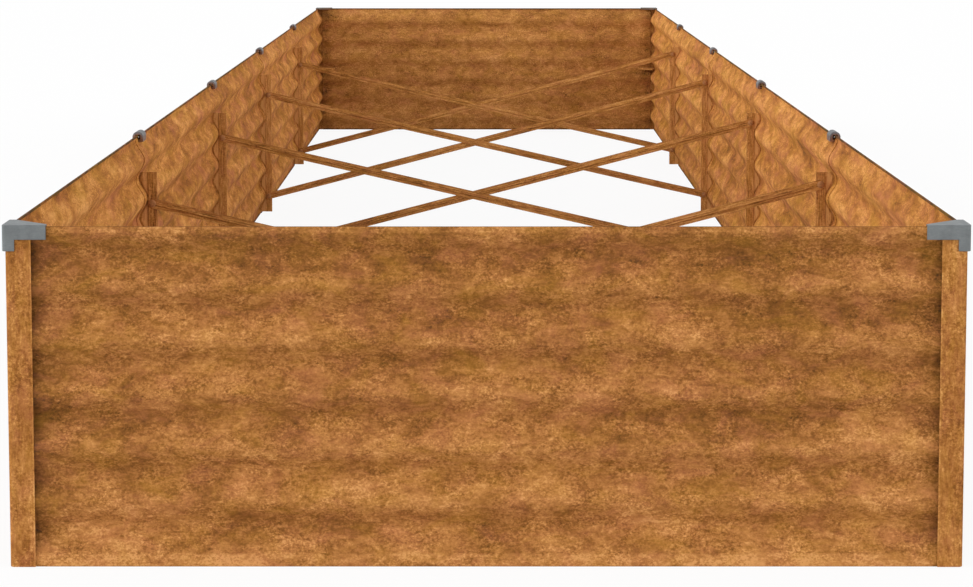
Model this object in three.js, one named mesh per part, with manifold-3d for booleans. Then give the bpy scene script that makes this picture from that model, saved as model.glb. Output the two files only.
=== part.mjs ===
// Raised garden bed: a long open frame of corrugated weathering-steel sheets.
// Ten lapped side panels and two end panels stand between four corner posts. Four pairs of
// uprights stiffen the lapped seams, and two crossed braces tie each pair together.
// Millimetres, +Z up. The origin is on the ground at the middle of the bed, the length runs
// along Y, the front end is at -Y and the left side is at -X.

import * as THREE from 'three';
import { mergeVertices } from 'three/addons/utils/BufferGeometryUtils.js';
import Module from 'manifold-3d';

const wasm = await Module();
wasm.setup();

// ---------------------------------------------------------------- driving dimensions

const LENGTH = 5070; // over the corner posts
const WIDTH = 1000; // over the corner posts
const HEIGHT = 360; // ground to rim
const CLEARANCE = 0.3; // between pieces that touch

// Corrugated sheet
const SHEET = 0.8; // sheet thickness
const WAVE_DEPTH = 13; // over both faces of the corrugated sheet
const WAVE_COUNT = 6; // whole waves between the lowest and the highest outward crest
const WAVE_STEPS = 8; // flats in one wave
const HEM_DIAMETER = 3; // rolled edge along the top and the bottom
const HEM_TURN = 45; // degrees of roll in one flat of the hem
const TOP_STRAIGHT = 4; // highest crest to the middle of the top hem
const BOTTOM_STRAIGHT = 11; // lowest crest to the middle of the bottom hem

// Side walls
const SIDE_PANELS = 5; // panels in each side wall
const LAP = 70; // overlap of two neighbouring side panels

// Corner posts, with a small gusset half way up
const POST_SHEET = 0.9;
const POST_FLANGE = 27; // width of each flange
const POST_RADIUS = 5; // outer bend
const POST_BEND_STEPS = 4; // flats round the bend
const POST_EDGE_STEPS = 2; // flats round the free edge of a flange
const GUSSET_SHEET = 1.5;
const GUSSET_LEG = 60; // along each wall
const GUSSET_LIP = 5; // turned down along the open edge
const GUSSET_LIP_INSET = 9; // lip's ends to the plate's tips
const GUSSET_WAVE = 3; // crest that the gusset sits behind, counted up from the lowest
const GUSSET_LIP_ROOT = 0.4; // lip's top below the plate's upper face

// Corner caps
const CAP_WALL = 2.2;
const CAP_TOP = 1.8;
const CAP_LEG = 46; // outer corner to the end of each leg
const CAP_LEG_WIDTH = 5.5; // width of a leg's end, behind the post's outer face
const CAP_SKIRT = 13.5; // skirt below the rim
const CAP_CORNER_WIDTH = 13; // long corner tongue, each way
const CAP_CORNER_DROP = 25.5; // corner tongue below the rim
const CAP_RADIUS = 3;
const CAP_CORNER_STEPS = 3; // flats round the corner
const CAP_INNER_DROP = 3; // lip along the inner edge, below the rim

// Clips over the rim at the lapped seams
const CLIP_WALL = 2.6;
const CLIP_RADIUS = 5; // inner radius of the arch
const CLIP_LENGTH = 33;
const CLIP_SKIRT = 9.5; // skirt below the rim
const CLIP_CROWN = 2.4; // free height above the hem
const CLIP_BARB = 2.4; // height of the barbs that grip the lap
const CLIP_BARB_SLOPE = 1.2; // rise of a barb's upper side
const CLIP_STEPS = 6; // flats round the crown

// Uprights
const UPRIGHT_SHEET = 1.2;
const UPRIGHT_GROUND_GAP = 5.5;
const UPRIGHT_RIM_GAP = 53;
const UPRIGHT_HEM = 14; // folded inner edge, two sheets thick
const UPRIGHT_OFFSET = 13; // seam's middle to the upright's web
const TAB_WAVES = 2; // a tab on every second inward crest
const TAB_HEIGHT = 18;
const TAB_LENGTH = 26;

// Braces
const BRACE_WIDTH = 14;
const BRACE_SHEET = 1.5;
const BRACE_RIB = 1.5; // height of the pressed rib
const BRACE_RIB_FOOT = 3; // half width of the rib at its foot
const BRACE_RIB_CREST = 1.4; // half width of the rib at its crest
const BRACE_END_INSET = 1; // brace's end to the outer edge of the upright's fold
const BRACE_TIP_WIDTH = 7; // width of the chamfered tip
const BRACE_TIP_LENGTH = 3.5;
const BRACE_FLAT_END = 22; // flat end round the bolt
const BRACE_RIB_RUN_OUT = 12; // length over which the rib fades
const BRACE_CRANK_START = 45; // brace end to the crank of the front brace
const BRACE_CRANK_LENGTH = 55;
const FIRST_BRACE_TOP_DROP = 18; // upright's top to the upper bolt on the right
const FIRST_BRACE_FOOT_RISE = 34.5; // upright's foot to the lower bolt on the left
const SECOND_BRACE_TOP_DROP = 45; // upright's top to the upper bolt on the left
const SECOND_BRACE_FOOT_RISE = 38; // upright's foot to the lower bolt on the right

// Bolts through the braces and the uprights
const BOLT_DIAMETER = 5;
const BOLT_HEAD_DIAMETER = 10.5;
const BOLT_HEAD_HEIGHT = 2.8;
const BOLT_DOME_DIAMETER = 6.5; // of the dome half way up
const BOLT_DOME_DROP = 0.6; // crown to that place
const BOLT_SIDES = 8;
const BOLT_PROUD = 1.6; // thread past the nut
const NUT_ACROSS_CORNERS = 9.2;
const NUT_HEIGHT = 4;
const NUT_SIDES = 6;
const DRILL_LENGTH = 10; // through a brace or an upright with its fold

// ---------------------------------------------------------------- values that follow

const WAVE_TRAVEL = WAVE_DEPTH - SHEET;
const LOWEST_CREST = HEM_DIAMETER / 2 + BOTTOM_STRAIGHT;
const HIGHEST_CREST = HEIGHT - HEM_DIAMETER / 2 - TOP_STRAIGHT;
const WAVE_PITCH = (HIGHEST_CREST - LOWEST_CREST) / WAVE_COUNT;
const STEEPEST_SLOPE = Math.atan((Math.PI * WAVE_TRAVEL) / WAVE_PITCH);

// Outward crests of the walls, measured from the bed's middle
const SIDE_CREST = WIDTH / 2 - POST_SHEET - CLEARANCE;
const END_CREST = LENGTH / 2 - POST_SHEET - CLEARANCE;
const END_PANEL_LENGTH = 2 * (SIDE_CREST - WAVE_DEPTH - CLEARANCE);

// Every second side panel lies one sheet further in, so that the laps nest
const LAP_SHIFT = (SHEET + CLEARANCE) / Math.cos(STEEPEST_SLOPE);
const PANEL_SETBACK = POST_RADIUS + CLEARANCE; // the side wall ends where the post's bend starts
const SEAM_PITCH = (LENGTH - LAP - 2 * PANEL_SETBACK) / SIDE_PANELS;
const SIDE_PANEL_LENGTH = SEAM_PITCH + LAP;
const NOTCH_HEIGHT = HEM_DIAMETER + CLEARANCE;

const CUT_MARGIN = 1; // by which a notch reaches past the sheet
const STEP_HEIGHT = WAVE_PITCH / WAVE_STEPS;

const UPRIGHT_FOOT = UPRIGHT_GROUND_GAP;
const UPRIGHT_TOP = HEIGHT - UPRIGHT_RIM_GAP;
const TAB_FACE = SIDE_CREST - LAP_SHIFT - WAVE_DEPTH - CLEARANCE;
const UPRIGHT_INNER_EDGE = TAB_FACE - UPRIGHT_HEM;
const BOLT_LINE = UPRIGHT_INNER_EDGE + UPRIGHT_HEM / 2;
const HOLE_RADIUS = BOLT_DIAMETER / 2 + CLEARANCE;
const BRACE_END = UPRIGHT_HEM / 2 - BRACE_END_INSET; // beyond the bolt

// Heights of the brace bolts on the two sides
const RIGHT_UPPER_BOLT = UPRIGHT_TOP - FIRST_BRACE_TOP_DROP;
const RIGHT_LOWER_BOLT = UPRIGHT_FOOT + SECOND_BRACE_FOOT_RISE;
const LEFT_UPPER_BOLT = UPRIGHT_TOP - SECOND_BRACE_TOP_DROP;
const LEFT_LOWER_BOLT = UPRIGHT_FOOT + FIRST_BRACE_FOOT_RISE;

// Places along Y of what a seam carries, measured from the seam's middle
const WEB_FRONT = -UPRIGHT_OFFSET;
const WEB_BACK = WEB_FRONT + UPRIGHT_SHEET;
const HEM_FRONT = WEB_FRONT - UPRIGHT_SHEET;
const BRACE_BACK = HEM_FRONT - CLEARANCE;
const BRACE_FRONT = BRACE_BACK - BRACE_SHEET;
const BRACE_CRANK = BRACE_SHEET + BRACE_RIB + CLEARANCE;

// ---------------------------------------------------------------- materials

const rustySteel = new THREE.MeshStandardMaterial({
  name: 'weathered steel',
  color: 0xa66c38,
  roughness: 0.85,
  metalness: 0.25,
});
const darkerSteel = new THREE.MeshStandardMaterial({
  name: 'weathered steel braces',
  color: 0x8a5630,
  roughness: 0.85,
  metalness: 0.25,
});
const greyPlastic = new THREE.MeshStandardMaterial({
  name: 'grey plastic',
  color: 0x7d8287,
  roughness: 0.55,
  metalness: 0,
});

// ---------------------------------------------------------------- helpers

const bed = new THREE.Group();

function addPiece(parent, name, geometry, material) {
  const piece = new THREE.Mesh(geometry, material);
  piece.name = name;
  parent.add(piece);
  return piece;
}

function toSolid(geometry) {
  const bare = geometry.clone();
  bare.deleteAttribute('normal');
  bare.deleteAttribute('uv');
  const welded = mergeVertices(bare, 1e-4);
  return new wasm.Manifold(
    new wasm.Mesh({
      numProp: 3,
      vertProperties: new Float32Array(welded.attributes.position.array),
      triVerts: new Uint32Array(welded.index.array),
    }),
  );
}

function toGeometry(solid) {
  const mesh = solid.getMesh();
  const geometry = new THREE.BufferGeometry();
  geometry.setAttribute('position', new THREE.BufferAttribute(mesh.vertProperties, 3));
  geometry.setIndex(new THREE.BufferAttribute(mesh.triVerts, 1));
  geometry.computeVertexNormals();
  return geometry;
}

const join = (first, ...others) =>
  toGeometry(others.reduce((whole, other) => whole.add(toSolid(other)), toSolid(first)));

const cut = (first, ...tools) =>
  toGeometry(tools.reduce((whole, tool) => whole.subtract(toSolid(tool)), toSolid(first)));

const point = (x, y) => new THREE.Vector2(x, y);

// Straight prism of a closed outline in X and Y, standing from z = low to z = high
function prismUp(outline, low, high) {
  const shape = new THREE.Shape(outline);
  const prism = new THREE.ExtrudeGeometry(shape, { depth: high - low, bevelEnabled: false });
  return prism.translate(0, 0, low);
}

// Straight prism of a closed outline in X and Z, running from y = front to y = back
function prismAlong(outline, front, back) {
  const shape = new THREE.Shape(outline);
  const prism = new THREE.ExtrudeGeometry(shape, { depth: back - front, bevelEnabled: false });
  return prism.rotateX(Math.PI / 2).translate(0, back, 0);
}

function box(x0, x1, y0, y1, z0, z1) {
  const block = new THREE.BoxGeometry(x1 - x0, y1 - y0, z1 - z0);
  return block.translate((x0 + x1) / 2, (y0 + y1) / 2, (z0 + z1) / 2);
}

// Points of an arc, angles in degrees
function arc(centreX, centreY, radius, from, to, steps) {
  const points = [];
  for (let step = 0; step <= steps; step += 1) {
    const angle = THREE.MathUtils.degToRad(from + ((to - from) * step) / steps);
    points.push(point(centreX + radius * Math.cos(angle), centreY + radius * Math.sin(angle)));
  }
  return points;
}

// An open line moved sideways by a distance, to its left as it runs
function offsetLine(line, distance) {
  const normals = [];
  for (let i = 0; i < line.length - 1; i += 1) {
    const along = line[i + 1].clone().sub(line[i]).normalize();
    normals.push(point(-along.y, along.x));
  }
  return line.map((place, i) => {
    const before = normals[Math.max(i - 1, 0)];
    const after = normals[Math.min(i, normals.length - 1)];
    const mitre = before.clone().add(after).normalize();
    return place.clone().addScaledVector(mitre, distance / mitre.dot(after));
  });
}

// Closed outline of a sheet whose middle follows an open line
const sheetOutline = (line, thickness) => [
  ...offsetLine(line, thickness / 2),
  ...offsetLine(line, -thickness / 2).reverse(),
];

// ---------------------------------------------------------------- corrugated sheet

// Middle of the sheet between the lowest and the highest outward crest, in x (0 at the crests'
// outer face, negative inward) and height
function waveLine() {
  const line = [];
  for (let step = 0; step <= WAVE_COUNT * WAVE_STEPS; step += 1) {
    const turn = (2 * Math.PI * step) / WAVE_STEPS;
    const inset = (WAVE_TRAVEL / 2) * (1 - Math.cos(turn));
    line.push(point(-SHEET / 2 - inset, LOWEST_CREST + STEP_HEIGHT * step));
  }
  return line;
}

// Middle of the rolled hem above the wave: three quarters of a turn, inward and down.
// Its flats touch the true roll at the outer side, the top, the inner side and the bottom.
function hemLine() {
  const radius = (HEM_DIAMETER - SHEET) / 2;
  const centreX = -HEM_DIAMETER / 2;
  const centreZ = HEIGHT - HEM_DIAMETER / 2;
  const half = HEM_TURN / 2;
  const cornerRadius = radius / Math.cos(THREE.MathUtils.degToRad(half));
  const lastCorner = 270 - half;
  const corners = arc(centreX, centreZ, cornerRadius, half, lastCorner, (lastCorner - half) / HEM_TURN);
  return [...corners, point(centreX, centreZ - radius)];
}

function panelOutline() {
  const top = hemLine();
  const bottom = top.map((place) => point(place.x, HEIGHT - place.y)).reverse();
  return sheetOutline([...bottom, ...waveLine(), ...top], SHEET);
}

// A side panel from y = front to y = back. At a lapped end both hems are notched back to the
// seam's middle, so that the neighbour's hems can carry on from there.
function sidePanel(front, back, lappedFront, lappedBack) {
  const sheet = prismAlong(panelOutline(), front, back);
  const notch = LAP / 2 + CLEARANCE / 2;
  const notches = [];
  for (const [lapped, y0, y1] of [
    [lappedFront, front - CUT_MARGIN, front + notch],
    [lappedBack, back - notch, back + CUT_MARGIN],
  ]) {
    if (lapped) {
      for (const [z0, z1] of [
        [HEIGHT - NOTCH_HEIGHT, HEIGHT + CUT_MARGIN],
        [-CUT_MARGIN, NOTCH_HEIGHT],
      ]) {
        notches.push(box(-WAVE_DEPTH, CUT_MARGIN, y0, y1, z0, z1));
      }
    }
  }
  return cut(sheet, ...notches);
}

// ---------------------------------------------------------------- corner post and cap

// Both are drawn for the corner where the right side meets the back end. There x and y run
// outward, and 0 is the post's outer corner.

function cornerPost() {
  const bend = POST_RADIUS;
  const innerBend = POST_RADIUS - POST_SHEET;
  const edge = POST_SHEET / 2;
  const outline = [
    ...arc(-edge, -POST_FLANGE + edge, edge, 180, 360, POST_EDGE_STEPS),
    ...arc(-bend, -bend, bend, 0, 90, POST_BEND_STEPS),
    ...arc(-POST_FLANGE + edge, -edge, edge, 90, 270, POST_EDGE_STEPS),
    ...arc(-bend, -bend, innerBend, 90, 0, POST_BEND_STEPS),
  ];
  return join(prismUp(outline, 0, HEIGHT), ...gusset());
}

// Triangular plate behind a crest of both walls. Its root passes between the end of the end
// panel and the side wall, and is welded to the post's flange.
function gusset() {
  const middle = LOWEST_CREST + GUSSET_WAVE * WAVE_PITCH;
  const top = middle + GUSSET_SHEET / 2;
  const wall = POST_SHEET + CLEARANCE + SHEET + 2 * CLEARANCE;
  const endPanelEnd = WIDTH / 2 - END_PANEL_LENGTH / 2;
  const root = POST_SHEET / 2;
  const plate = [
    point(-wall, -root),
    point(-wall, -GUSSET_LEG),
    point(-GUSSET_LEG, -wall),
    point(-endPanelEnd + CLEARANCE, -wall),
    point(-endPanelEnd + CLEARANCE, -root),
  ].reverse();
  const lipLine = GUSSET_SHEET / Math.SQRT2;
  const lip = [
    point(-wall - GUSSET_LIP_INSET, -GUSSET_LEG + GUSSET_LIP_INSET),
    point(-GUSSET_LEG + GUSSET_LIP_INSET, -wall - GUSSET_LIP_INSET),
    point(-GUSSET_LEG + GUSSET_LIP_INSET + lipLine, -wall - GUSSET_LIP_INSET + lipLine),
    point(-wall - GUSSET_LIP_INSET + lipLine, -GUSSET_LEG + GUSSET_LIP_INSET + lipLine),
  ].reverse();
  return [
    prismUp(plate, middle - GUSSET_SHEET / 2, top),
    prismUp(lip, top - GUSSET_LIP, top - GUSSET_LIP_ROOT),
  ];
}

// L-shaped band round the outside of the post, with legs that end at a given distance from the
// cap's outer corner
function capBand(leg) {
  const outer = CLEARANCE + CAP_WALL;
  const end = outer - leg;
  return [
    point(CLEARANCE, end),
    point(outer, end),
    ...arc(outer - CAP_RADIUS, outer - CAP_RADIUS, CAP_RADIUS, 0, 90, CAP_CORNER_STEPS),
    point(end, outer),
    point(end, CLEARANCE),
    point(CLEARANCE, CLEARANCE),
  ];
}

function cornerCap() {
  const outer = CLEARANCE + CAP_WALL;
  const end = outer - CAP_LEG;
  const underside = HEIGHT + CLEARANCE;
  const top = underside + CAP_TOP;
  const overlap = CAP_TOP / 2;
  const plate = [
    point(-CAP_LEG_WIDTH, end),
    point(outer, end),
    ...arc(outer - CAP_RADIUS, outer - CAP_RADIUS, CAP_RADIUS, 0, 90, CAP_CORNER_STEPS),
    point(end, outer),
    point(end, -CAP_LEG_WIDTH),
  ];
  const across = CAP_WALL * Math.SQRT2;
  const innerSkirt = [
    point(-CAP_LEG_WIDTH, end),
    point(-CAP_LEG_WIDTH, end + across),
    point(end + across, -CAP_LEG_WIDTH),
    point(end, -CAP_LEG_WIDTH),
  ];
  return join(
    prismUp(plate, underside, top),
    prismUp(capBand(CAP_LEG), HEIGHT - CAP_SKIRT, underside + overlap),
    prismUp(capBand(CAP_CORNER_WIDTH), HEIGHT - CAP_CORNER_DROP, underside + overlap),
    prismUp(innerSkirt, HEIGHT - CAP_INNER_DROP, underside + overlap),
  );
}

// ---------------------------------------------------------------- clip over the rim

// An inverted U with a barb inside each foot. The barbs close on the lapped sheets below their
// hems, of which one lies further in.
function rimClip() {
  const middle = -HEM_DIAMETER / 2 - LAP_SHIFT / 2;
  const inner = CLIP_RADIUS;
  const outer = CLIP_RADIUS + CLIP_WALL;
  const foot = HEIGHT - CLIP_SKIRT;
  const spring = HEIGHT + CLIP_CROWN - inner;
  const firstFlat = (WAVE_TRAVEL / 2) * (1 - Math.cos((2 * Math.PI) / WAVE_STEPS));
  const footInset = (firstFlat * (HIGHEST_CREST - foot)) / STEP_HEIGHT;
  const innerGrip = -LAP_SHIFT - SHEET - footInset - CLEARANCE;
  const outerGrip = CLEARANCE;
  const outline = [
    point(middle + outer, foot),
    ...arc(middle, spring, outer, 0, 180, CLIP_STEPS),
    point(middle - outer, foot),
    point(innerGrip, foot),
    point(innerGrip, foot + CLIP_BARB),
    point(middle - inner, foot + CLIP_BARB + CLIP_BARB_SLOPE),
    ...arc(middle, spring, inner, 180, 0, CLIP_STEPS),
    point(middle + inner, foot + CLIP_BARB + CLIP_BARB_SLOPE),
    point(outerGrip, foot + CLIP_BARB),
    point(outerGrip, foot),
  ];
  return prismAlong(outline, -CLIP_LENGTH / 2, CLIP_LENGTH / 2);
}

// ---------------------------------------------------------------- upright

// Part of a rising line between two heights
function lineBetween(line, low, high) {
  const at = (height) => {
    const next = line.findIndex((place) => place.y >= height);
    const [a, b] = [line[next - 1], line[next]];
    return a.clone().lerp(b, (height - a.y) / (b.y - a.y));
  };
  const between = line.filter((place) => place.y > low && place.y < high);
  return [at(low), ...between, at(high)];
}

// Cylinder along Y, used as a drill
const drill = (x, z) =>
  new THREE.CylinderGeometry(HOLE_RADIUS, HOLE_RADIUS, DRILL_LENGTH, BOLT_SIDES)
    .translate(x, HEM_FRONT, z);

// Right-hand upright, at x and z of the bed and y from the seam's middle. The web's outer edge
// nests in the waves and clears the bottom hem, its inner edge is folded forward, and tabs
// turned back from it lie on the inward crests.
function upright(boltHeights) {
  const edge = offsetLine(waveLine(), SHEET / 2 + CLEARANCE);
  const seated = edge.map((place) => point(place.x + SIDE_CREST - LAP_SHIFT, place.y));
  const hemSide = SIDE_CREST - LAP_SHIFT - HEM_DIAMETER - CLEARANCE;
  const overHem = Math.max(UPRIGHT_FOOT, NOTCH_HEIGHT);
  const besideHem = overHem > UPRIGHT_FOOT ? [UPRIGHT_FOOT, overHem] : [];
  const web = [
    point(UPRIGHT_INNER_EDGE, UPRIGHT_TOP),
    point(UPRIGHT_INNER_EDGE, UPRIGHT_FOOT),
    ...besideHem.map((height) => point(hemSide, height)),
    ...lineBetween([point(seated[0].x, 0), ...seated], overHem, UPRIGHT_TOP),
  ];
  const hem = box(UPRIGHT_INNER_EDGE, TAB_FACE, HEM_FRONT, WEB_BACK, UPRIGHT_FOOT, UPRIGHT_TOP);
  const tabs = [];
  for (let wave = 0; wave < WAVE_COUNT; wave += TAB_WAVES) {
    const height = LOWEST_CREST + (wave + 0.5) * WAVE_PITCH;
    if (height + TAB_HEIGHT / 2 < UPRIGHT_TOP) {
      tabs.push(tab(height));
    }
  }
  const whole = join(prismAlong(web, WEB_FRONT, WEB_BACK), hem, ...tabs);
  return cut(whole, ...boltHeights.map((height) => drill(BOLT_LINE, height)));
}

const tab = (height) =>
  box(
    TAB_FACE - UPRIGHT_SHEET,
    TAB_FACE,
    WEB_FRONT,
    WEB_FRONT + TAB_LENGTH,
    height - TAB_HEIGHT / 2,
    height + TAB_HEIGHT / 2,
  );

// ---------------------------------------------------------------- brace

// Section of the brace: across its width, and forward from its back face
function braceSection(halfWidth, rib, crank) {
  const foot = Math.min(BRACE_RIB_FOOT, halfWidth / 2);
  const crest = Math.min(BRACE_RIB_CREST, foot / 2);
  const front = [
    point(-halfWidth, BRACE_SHEET),
    point(-foot, BRACE_SHEET),
    point(-crest, BRACE_SHEET + rib),
    point(crest, BRACE_SHEET + rib),
    point(foot, BRACE_SHEET),
    point(halfWidth, BRACE_SHEET),
  ];
  const back = front.map((place) => point(place.x, place.y - BRACE_SHEET)).reverse();
  return [...front, ...back].map((place) => point(place.x, place.y + crank));
}

// Closed solid through a row of rings, each with the same number of points
function loft(rings) {
  const sides = rings[0].length;
  const positions = rings.flat().flatMap((place) => place.toArray());
  const triangles = [];
  for (let ring = 0; ring < rings.length - 1; ring += 1) {
    for (let side = 0; side < sides; side += 1) {
      const a = ring * sides + side;
      const b = ring * sides + ((side + 1) % sides);
      triangles.push(a, a + sides, b, b, a + sides, b + sides);
    }
  }
  const last = (rings.length - 1) * sides;
  for (let i = 0; i < sides / 2 - 1; i += 1) {
    const j = sides - 1 - i;
    triangles.push(i, i + 1, j, i + 1, j - 1, j);
    triangles.push(last + i, last + j, last + i + 1, last + i + 1, last + j, last + j - 1);
  }
  const geometry = new THREE.BufferGeometry();
  geometry.setAttribute('position', new THREE.Float32BufferAttribute(positions, 3));
  geometry.setIndex(triangles);
  return geometry;
}

// A ribbed strip between two bolts given by x and z. The cranked one passes in front of the
// other where they cross.
function brace(fromX, fromZ, toX, toZ, cranked) {
  const from = new THREE.Vector3(fromX, 0, fromZ);
  const to = new THREE.Vector3(toX, 0, toZ);
  const along = to.clone().sub(from).normalize();
  const forward = new THREE.Vector3(0, -1, 0);
  const across = new THREE.Vector3().crossVectors(forward, along);
  const half = BRACE_WIDTH / 2;
  const length = from.distanceTo(to) + 2 * BRACE_END;
  const start = from.clone().addScaledVector(along, -BRACE_END);
  start.y = BRACE_BACK;

  // distance from the end, half width, rib height, crank
  const crank = cranked ? BRACE_CRANK : 0;
  const stations = [
    [0, BRACE_TIP_WIDTH / 2, 0, 0],
    [BRACE_TIP_LENGTH, half, 0, 0],
    [BRACE_FLAT_END, half, 0, 0],
    [BRACE_FLAT_END + BRACE_RIB_RUN_OUT, half, BRACE_RIB, 0],
  ];
  if (cranked) {
    stations.push([BRACE_CRANK_START, half, BRACE_RIB, 0]);
    stations.push([BRACE_CRANK_START + BRACE_CRANK_LENGTH, half, BRACE_RIB, crank]);
  }
  const mirrored = stations.map(([place, ...rest]) => [length - place, ...rest]).reverse();
  const rings = [...stations, ...mirrored].map(([place, halfWidth, rib, lift]) =>
    braceSection(halfWidth, rib, lift).map((corner) =>
      start
        .clone()
        .addScaledVector(along, place)
        .addScaledVector(across, corner.x)
        .addScaledVector(forward, corner.y),
    ),
  );
  return cut(loft(rings), drill(fromX, fromZ), drill(toX, toZ));
}

// ---------------------------------------------------------------- bolt

// Domed bolt with its nut, along Y through a brace and an upright
function braceBolt() {
  const radius = BOLT_DIAMETER / 2;
  const headRadius = BOLT_HEAD_DIAMETER / 2;
  const headSeat = BRACE_FRONT - CLEARANCE;
  const nutSeat = WEB_BACK + CLEARANCE;
  const end = nutSeat + NUT_HEIGHT + BOLT_PROUD;
  const profile = [
    point(0, headSeat - BOLT_HEAD_HEIGHT),
    point(BOLT_DOME_DIAMETER / 2, headSeat - BOLT_HEAD_HEIGHT + BOLT_DOME_DROP),
    point(headRadius, headSeat),
    point(radius, headSeat),
    point(radius, end),
    point(0, end),
  ];
  const shank = new THREE.LatheGeometry(profile, BOLT_SIDES);
  const nutRadius = NUT_ACROSS_CORNERS / 2;
  const nut = new THREE.CylinderGeometry(nutRadius, nutRadius, NUT_HEIGHT, NUT_SIDES)
    .translate(0, nutSeat + NUT_HEIGHT / 2, 0);
  return join(shank, nut);
}

// ---------------------------------------------------------------- assembly

const sides = { left: new THREE.Group(), right: new THREE.Group() };
sides.left.scale.x = -1;
bed.add(sides.left, sides.right);

// Side walls, counted from the front end
for (const [side, group] of Object.entries(sides)) {
  for (let panel = 0; panel < SIDE_PANELS; panel += 1) {
    const front = -LENGTH / 2 + PANEL_SETBACK + panel * SEAM_PITCH;
    const back = front + SIDE_PANEL_LENGTH;
    const shift = panel % 2 === 1 ? LAP_SHIFT : 0;
    const geometry = sidePanel(front, back, panel > 0, panel < SIDE_PANELS - 1);
    const piece = addPiece(group, `${side}_panel_${panel + 1}`, geometry, rustySteel);
    piece.position.x = SIDE_CREST - shift;
  }
}

// End walls: the same sheet, turned to face along the length
for (const [name, turn] of [['front_panel', -Math.PI / 2], ['back_panel', Math.PI / 2]]) {
  const geometry = prismAlong(panelOutline(), -END_PANEL_LENGTH / 2, END_PANEL_LENGTH / 2);
  const wall = addPiece(bed, name, geometry, rustySteel);
  wall.rotation.z = turn;
  wall.position.y = Math.sign(turn) * END_CREST;
}

// Corners
for (const [side, group] of Object.entries(sides)) {
  for (const [end, direction] of [['front', -1], ['back', 1]]) {
    const corner = new THREE.Group();
    corner.position.set(WIDTH / 2, (direction * LENGTH) / 2, 0);
    corner.scale.y = direction;
    group.add(corner);
    addPiece(corner, `corner_post_${end}_${side}`, cornerPost(), rustySteel);
    addPiece(corner, `corner_cap_${end}_${side}`, cornerCap(), greyPlastic);
  }
}

// Seams: an upright and a rim clip on each side, and two crossed braces between the uprights
const boltHeights = {
  left: [['upper', LEFT_UPPER_BOLT], ['lower', LEFT_LOWER_BOLT]],
  right: [['upper', RIGHT_UPPER_BOLT], ['lower', RIGHT_LOWER_BOLT]],
};

for (let seam = 1; seam < SIDE_PANELS; seam += 1) {
  const place = (seam - SIDE_PANELS / 2) * SEAM_PITCH;
  for (const [side, group] of Object.entries(sides)) {
    const stand = new THREE.Group();
    stand.position.y = place;
    group.add(stand);
    const heights = boltHeights[side].map(([, height]) => height);
    addPiece(stand, `upright_${side}_${seam}`, upright(heights), darkerSteel);
    const clip = addPiece(stand, `rim_clip_${side}_${seam}`, rimClip(), greyPlastic);
    clip.position.x = SIDE_CREST;
    for (const [level, height] of boltHeights[side]) {
      const name = `brace_bolt_${side}_${seam}_${level}`;
      const bolt = addPiece(stand, name, braceBolt(), darkerSteel);
      bolt.position.set(BOLT_LINE, 0, height);
    }
  }
  const cross = new THREE.Group();
  cross.position.y = place;
  bed.add(cross);
  const rear = brace(-BOLT_LINE, LEFT_LOWER_BOLT, BOLT_LINE, RIGHT_UPPER_BOLT, false);
  const front = brace(-BOLT_LINE, LEFT_UPPER_BOLT, BOLT_LINE, RIGHT_LOWER_BOLT, true);
  addPiece(cross, `brace_rear_${seam}`, rear, darkerSteel);
  addPiece(cross, `brace_front_${seam}`, front, darkerSteel);
}

export default bed;
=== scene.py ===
"""Raised garden bed of corrugated weathering steel: the looks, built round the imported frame.

Sizes are written in millimetres and turned into metres as each mesh is made. The origin is on
the ground at the middle of the bed, +Z is up, the length runs along Y, and the front end is at
-Y. Right-hand pieces are drawn first and mirrored to the left.
"""

import math

import bmesh
import bpy
import numpy as np
from mathutils import Matrix, Vector

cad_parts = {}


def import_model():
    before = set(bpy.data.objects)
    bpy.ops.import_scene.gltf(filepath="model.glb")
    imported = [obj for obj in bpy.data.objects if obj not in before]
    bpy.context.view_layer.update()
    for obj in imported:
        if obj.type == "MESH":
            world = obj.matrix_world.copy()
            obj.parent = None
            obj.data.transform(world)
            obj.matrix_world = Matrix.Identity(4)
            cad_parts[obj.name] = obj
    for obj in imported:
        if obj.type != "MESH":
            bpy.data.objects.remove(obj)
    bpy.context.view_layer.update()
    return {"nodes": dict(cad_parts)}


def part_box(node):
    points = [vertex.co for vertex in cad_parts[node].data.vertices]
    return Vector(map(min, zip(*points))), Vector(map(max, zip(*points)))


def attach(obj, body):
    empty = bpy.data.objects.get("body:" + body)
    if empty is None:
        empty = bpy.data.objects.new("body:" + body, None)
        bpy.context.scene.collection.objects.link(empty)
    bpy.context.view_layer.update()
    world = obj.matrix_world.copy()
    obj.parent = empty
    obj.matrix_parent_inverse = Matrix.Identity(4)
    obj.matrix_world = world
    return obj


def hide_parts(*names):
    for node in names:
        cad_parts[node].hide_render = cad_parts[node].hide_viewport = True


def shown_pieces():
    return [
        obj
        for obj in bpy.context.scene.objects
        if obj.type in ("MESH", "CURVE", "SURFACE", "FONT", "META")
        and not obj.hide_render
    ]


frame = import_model()

MM = 0.001

# ------------------------------------------------------------------ sizes shared with the CAD

LENGTH, WIDTH, HEIGHT = 5070.0, 1000.0, 360.0
CLEARANCE = 0.3
SHEET = 0.8
WAVE_TRAVEL = 12.2
WAVE_PITCH = 57.0
WAVE_COUNT = 6
LOWEST_CREST, HIGHEST_CREST = 12.5, 354.5
HEM_DIAMETER = 3.0
SIDE_CREST = 498.8
END_CREST = 2533.8
END_PANEL_HALF = 485.5
LAP = 70.0
LAP_SHIFT = 1.1 / math.cos(math.atan(math.pi * WAVE_TRAVEL / WAVE_PITCH))
PANEL_SETBACK = 5.3
PANELS = 5
SEAM_PITCH = (LENGTH - LAP - 2 * PANEL_SETBACK) / PANELS
NOTCH_HEIGHT = 3.3

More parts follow.
